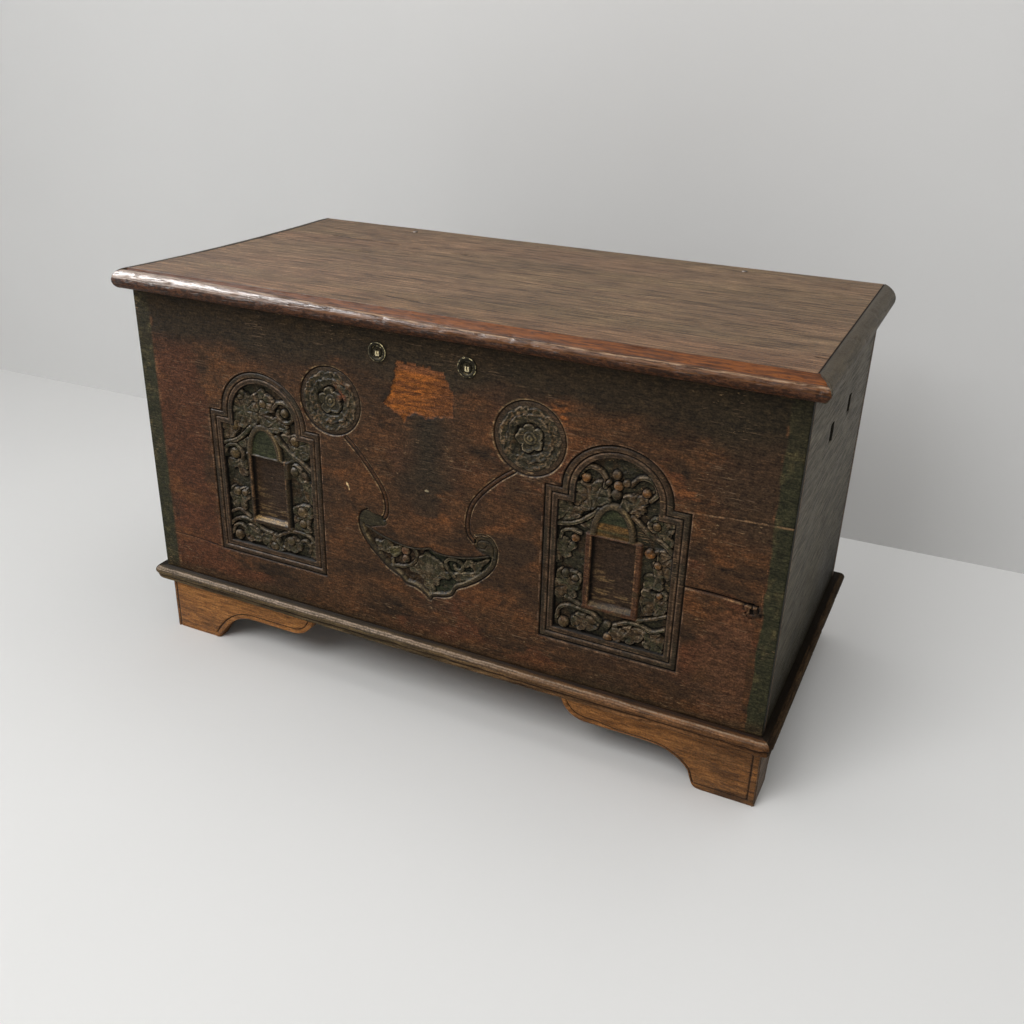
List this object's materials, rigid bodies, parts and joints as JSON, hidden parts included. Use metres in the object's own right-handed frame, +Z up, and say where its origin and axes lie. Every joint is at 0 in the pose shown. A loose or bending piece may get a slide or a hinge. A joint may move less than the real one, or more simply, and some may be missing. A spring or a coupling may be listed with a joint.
{
  "type": "blanket chest",
  "caption": "Rectangular wooden blanket chest with a carved front, a hinged lid with moulded edges, two key locks, a moulded base and bracket feet.",
  "frame": {"origin": "on the floor, under the middle of the chest's box", "axes": "+X to the right seen from the front, +Y from the front to the back, +Z up"},
  "size_m": [1.042, 0.5366, 0.6119],
  "materials": {
    "front_wood": "dark red-brown stain, worn, with green paint at the edges and in the carving",
    "case_wood": "grey-green brown, worn",
    "inside_wood": "bare, unfinished",
    "lid_wood": "worn waxed brown",
    "moulding_wood": "polished red-brown, rubbed bright on the nose",
    "base_wood": "dark brown, rubbed pale on the nose",
    "foot_wood": "orange-brown, waxed",
    "iron": "dark wrought iron",
    "brass": "tarnished brass"
  },
  "bodies": {
    "chest": {"front_board": "front_wood", "back_board": "case_wood", "left_end_board": "case_wood", "right_end_board": "case_wood", "floor_plank_front": "inside_wood", "floor_plank_middle": "inside_wood", "floor_plank_rear": "inside_wood", "peg_front_left_low": "case_wood", "peg_front_left_high": "case_wood", "peg_front_right_low": "case_wood", "peg_front_right_high": "case_wood", "peg_back_left_low": "case_wood", "peg_back_left_high": "case_wood", "peg_back_right_low": "case_wood", "peg_back_right_high": "case_wood", "base_moulding_front": "base_wood", "base_moulding_left": "base_wood", "base_moulding_right": "base_wood", "base_rail_back": "base_wood", "foot_front_left_face": "foot_wood", "foot_front_left_return": "foot_wood", "foot_front_left_block": "inside_wood", "foot_front_right_face": "foot_wood", "foot_front_right_return": "foot_wood", "foot_front_right_block": "inside_wood", "foot_rear_left_face": "foot_wood", "foot_rear_left_return": "foot_wood", "foot_rear_left_block": "inside_wood", "foot_rear_right_face": "foot_wood", "foot_rear_right_return": "foot_wood", "foot_rear_right_block": "inside_wood", "hinge_plate_left": "iron", "hinge_plate_right": "iron", "hinge_pin_left": "iron", "hinge_pin_right": "iron", "hinge_plate_nail_left_1": "iron", "hinge_plate_nail_left_2": "iron", "hinge_plate_nail_right_1": "iron", "hinge_plate_nail_right_2": "iron", "lock_barrel_left": "brass", "lock_barrel_right": "brass", "lock_case_left": "iron", "lock_case_right": "iron"},
    "lid": {"lid_board": "lid_wood", "lid_moulding_front": "moulding_wood", "lid_moulding_left": "moulding_wood", "lid_moulding_right": "moulding_wood", "hinge_strap_left": "iron", "hinge_strap_right": "iron", "hinge_strap_nail_left_1": "iron", "hinge_strap_nail_left_2": "iron", "hinge_strap_nail_right_1": "iron", "hinge_strap_nail_right_2": "iron", "lock_link_left": "brass", "lock_link_right": "brass"},
    "lock_plug_left": {"lock_plug_left": "brass"},
    "lock_plug_right": {"lock_plug_right": "brass"},
    "lock_bolt_left": {"lock_bolt_left": "brass"},
    "lock_bolt_right": {"lock_bolt_right": "brass"}
  },
  "joints": [
    {"name": "lid_hinge", "type": "hinge", "parent": "chest", "child": "lid", "pos_m": [0, 0.2633, 0.5801], "axis": [-1, 0, 0], "range_deg": [0, 100]},
    {"name": "key_turn_left", "type": "hinge", "parent": "chest", "child": "lock_plug_left", "pos_m": [-0.074, -0.2476, 0.5486], "axis": [0, 1, 0], "range_deg": [0, 180]},
    {"name": "key_turn_right", "type": "hinge", "parent": "chest", "child": "lock_plug_right", "pos_m": [0.062, -0.2476, 0.5486], "axis": [0, 1, 0], "range_deg": [0, 180]},
    {"name": "bolt_slide_left", "type": "slide", "parent": "chest", "child": "lock_bolt_left", "axis": [1, 0, 0], "range_m": [0, 0.008]},
    {"name": "bolt_slide_right", "type": "slide", "parent": "chest", "child": "lock_bolt_right", "axis": [1, 0, 0], "range_m": [0, 0.008]}
  ],
  "couplings": [
    {"joint": "bolt_slide_left", "follows": "key_turn_left", "m_per_rad": 0.0025464},
    {"joint": "bolt_slide_right", "follows": "key_turn_right", "m_per_rad": 0.0025464}
  ]
}
